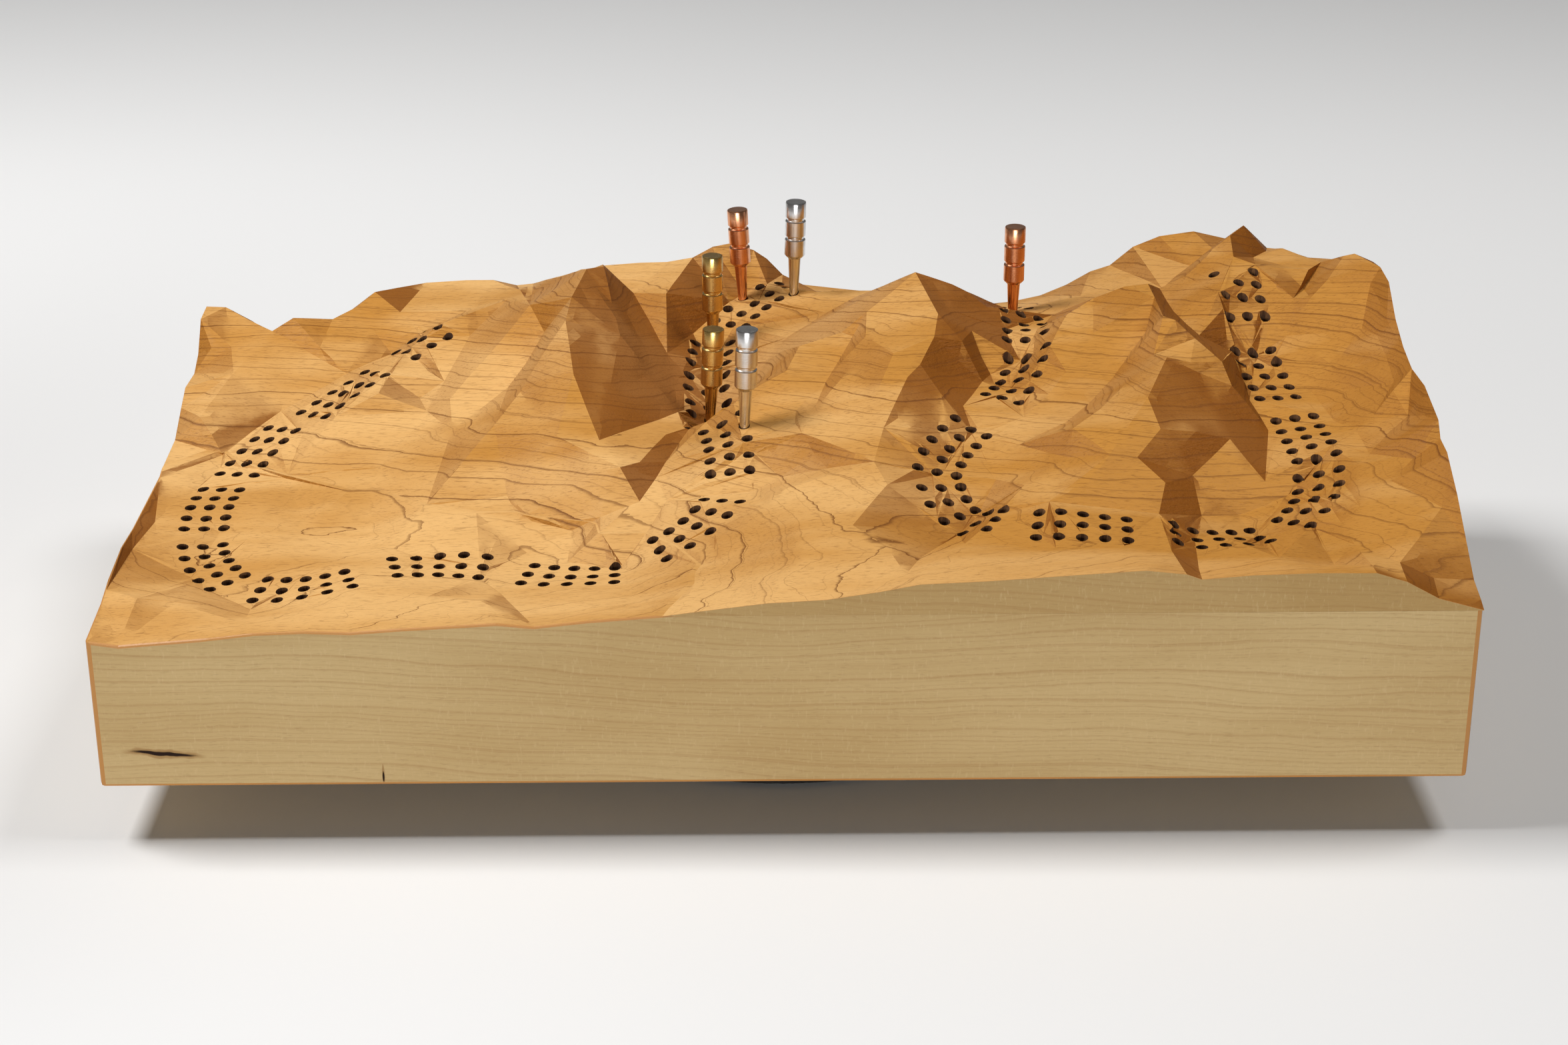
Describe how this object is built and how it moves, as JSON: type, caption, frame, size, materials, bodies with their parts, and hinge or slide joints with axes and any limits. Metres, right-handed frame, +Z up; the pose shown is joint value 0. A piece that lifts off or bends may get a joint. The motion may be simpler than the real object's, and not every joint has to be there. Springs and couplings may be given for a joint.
{
  "type": "cribbage board",
  "caption": "Laminated maple block carved as faceted mountains, with a winding three-lane track of peg holes and turned metal pegs, on a round swivel base.",
  "frame": {"origin": "centre of the bounding box at the underside of the rubber pads, on the swivel's axis", "axes": "+X to the player's right along the long side, +Y from the front face to the back, +Z up"},
  "size_m": [0.356, 0.203, 0.1191],
  "materials": {
    "maple": "satin oil finish, planed on the sides and carved in facets on top",
    "steel": "turned and polished",
    "brass": "turned and polished",
    "copper": "turned and polished copper",
    "zinc": "zinc-plated pressed steel",
    "black_paint": "satin black paint on plywood",
    "rubber": "matt black"
  },
  "bodies": {
    "base": {"round_base": "black_paint", "rubber_pad_1": "rubber", "rubber_pad_2": "rubber", "rubber_pad_3": "rubber", "rubber_pad_4": "rubber", "lower_bearing_plate": "zinc", "bearing_ball_1": "zinc", "bearing_ball_2": "zinc", "bearing_ball_3": "zinc", "bearing_ball_4": "zinc", "bearing_ball_5": "zinc", "bearing_ball_6": "zinc", "bearing_ball_7": "zinc", "bearing_ball_8": "zinc", "lower_screw_1": "zinc", "lower_screw_2": "zinc", "lower_screw_3": "zinc", "lower_screw_4": "zinc"},
    "board": {"lower_plank": "maple", "upper_plank": "maple", "upper_bearing_plate": "zinc", "upper_screw_1": "zinc", "upper_screw_2": "zinc", "upper_screw_3": "zinc", "upper_screw_4": "zinc"},
    "front_steel": {"front_steel_peg": "steel"},
    "front_brass": {"front_brass_peg": "brass"},
    "rear_brass": {"rear_brass_peg": "brass"},
    "rear_copper": {"rear_copper_peg": "copper"},
    "rear_steel": {"rear_steel_peg": "steel"},
    "saddle_copper": {"saddle_copper_peg": "copper"}
  },
  "joints": [
    {"name": "board_swivel", "type": "hinge", "parent": "base", "child": "board", "pos_m": [0, 0, 0.0118], "axis": [0, 0, 1], "continuous": true},
    {"name": "front_steel_lift", "type": "slide", "parent": "board", "child": "front_steel", "axis": [0.0349, 0, 0.9994], "range_m": [0, 0.045]},
    {"name": "front_brass_lift", "type": "slide", "parent": "board", "child": "front_brass", "axis": [0.0489, 0, 0.9988], "range_m": [0, 0.045]},
    {"name": "rear_brass_lift", "type": "slide", "parent": "board", "child": "rear_brass", "axis": [0.0087, 0, 1], "range_m": [0, 0.045]},
    {"name": "rear_copper_lift", "type": "slide", "parent": "board", "child": "rear_copper", "axis": [-0.0489, 0, 0.9988], "range_m": [0, 0.045]},
    {"name": "rear_steel_lift", "type": "slide", "parent": "board", "child": "rear_steel", "axis": [0.0262, 0, 0.9997], "range_m": [0, 0.045]},
    {"name": "saddle_copper_lift", "type": "slide", "parent": "board", "child": "saddle_copper", "axis": [0.0052, 0, 1], "range_m": [0, 0.045]}
  ]
}
